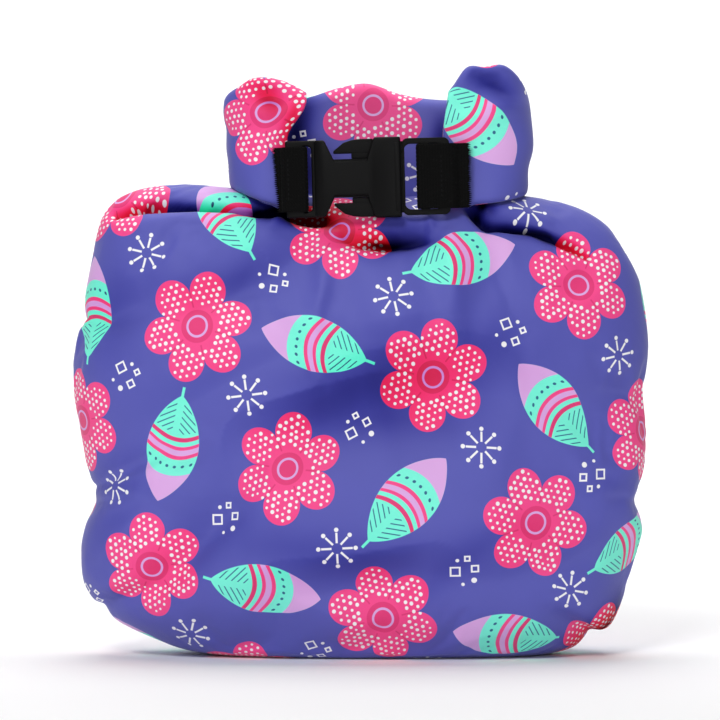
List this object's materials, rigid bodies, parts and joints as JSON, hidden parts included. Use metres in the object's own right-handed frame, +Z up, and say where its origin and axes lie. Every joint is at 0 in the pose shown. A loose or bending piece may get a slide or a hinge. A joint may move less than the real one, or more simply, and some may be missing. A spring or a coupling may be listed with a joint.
{
  "type": "roll-top wet bag",
  "caption": "Soft cloth bag that stands by itself, its mouth rolled down into a collar whose two ends fold forward and clip together with a side-release buckle.",
  "frame": {"origin": "on the floor, under the middle of the bag's bounding box", "axes": "+Z up through the rolled collar, -Y towards the front where the buckle is, +X to the right as seen from the front"},
  "size_m": [0.2288, 0.0774, 0.2353],
  "materials": {
    "printed_cloth": null,
    "buckle_plastic": "black moulded plastic, slightly satin",
    "webbing": "black ribbed polypropylene webbing, matt"
  },
  "bodies": {
    "root": {"bag_shell": "printed_cloth", "buckle_socket": "buckle_plastic", "buckle_plug": "buckle_plastic", "webbing_left": "webbing", "webbing_right": "webbing"}
  },
  "joints": []
}
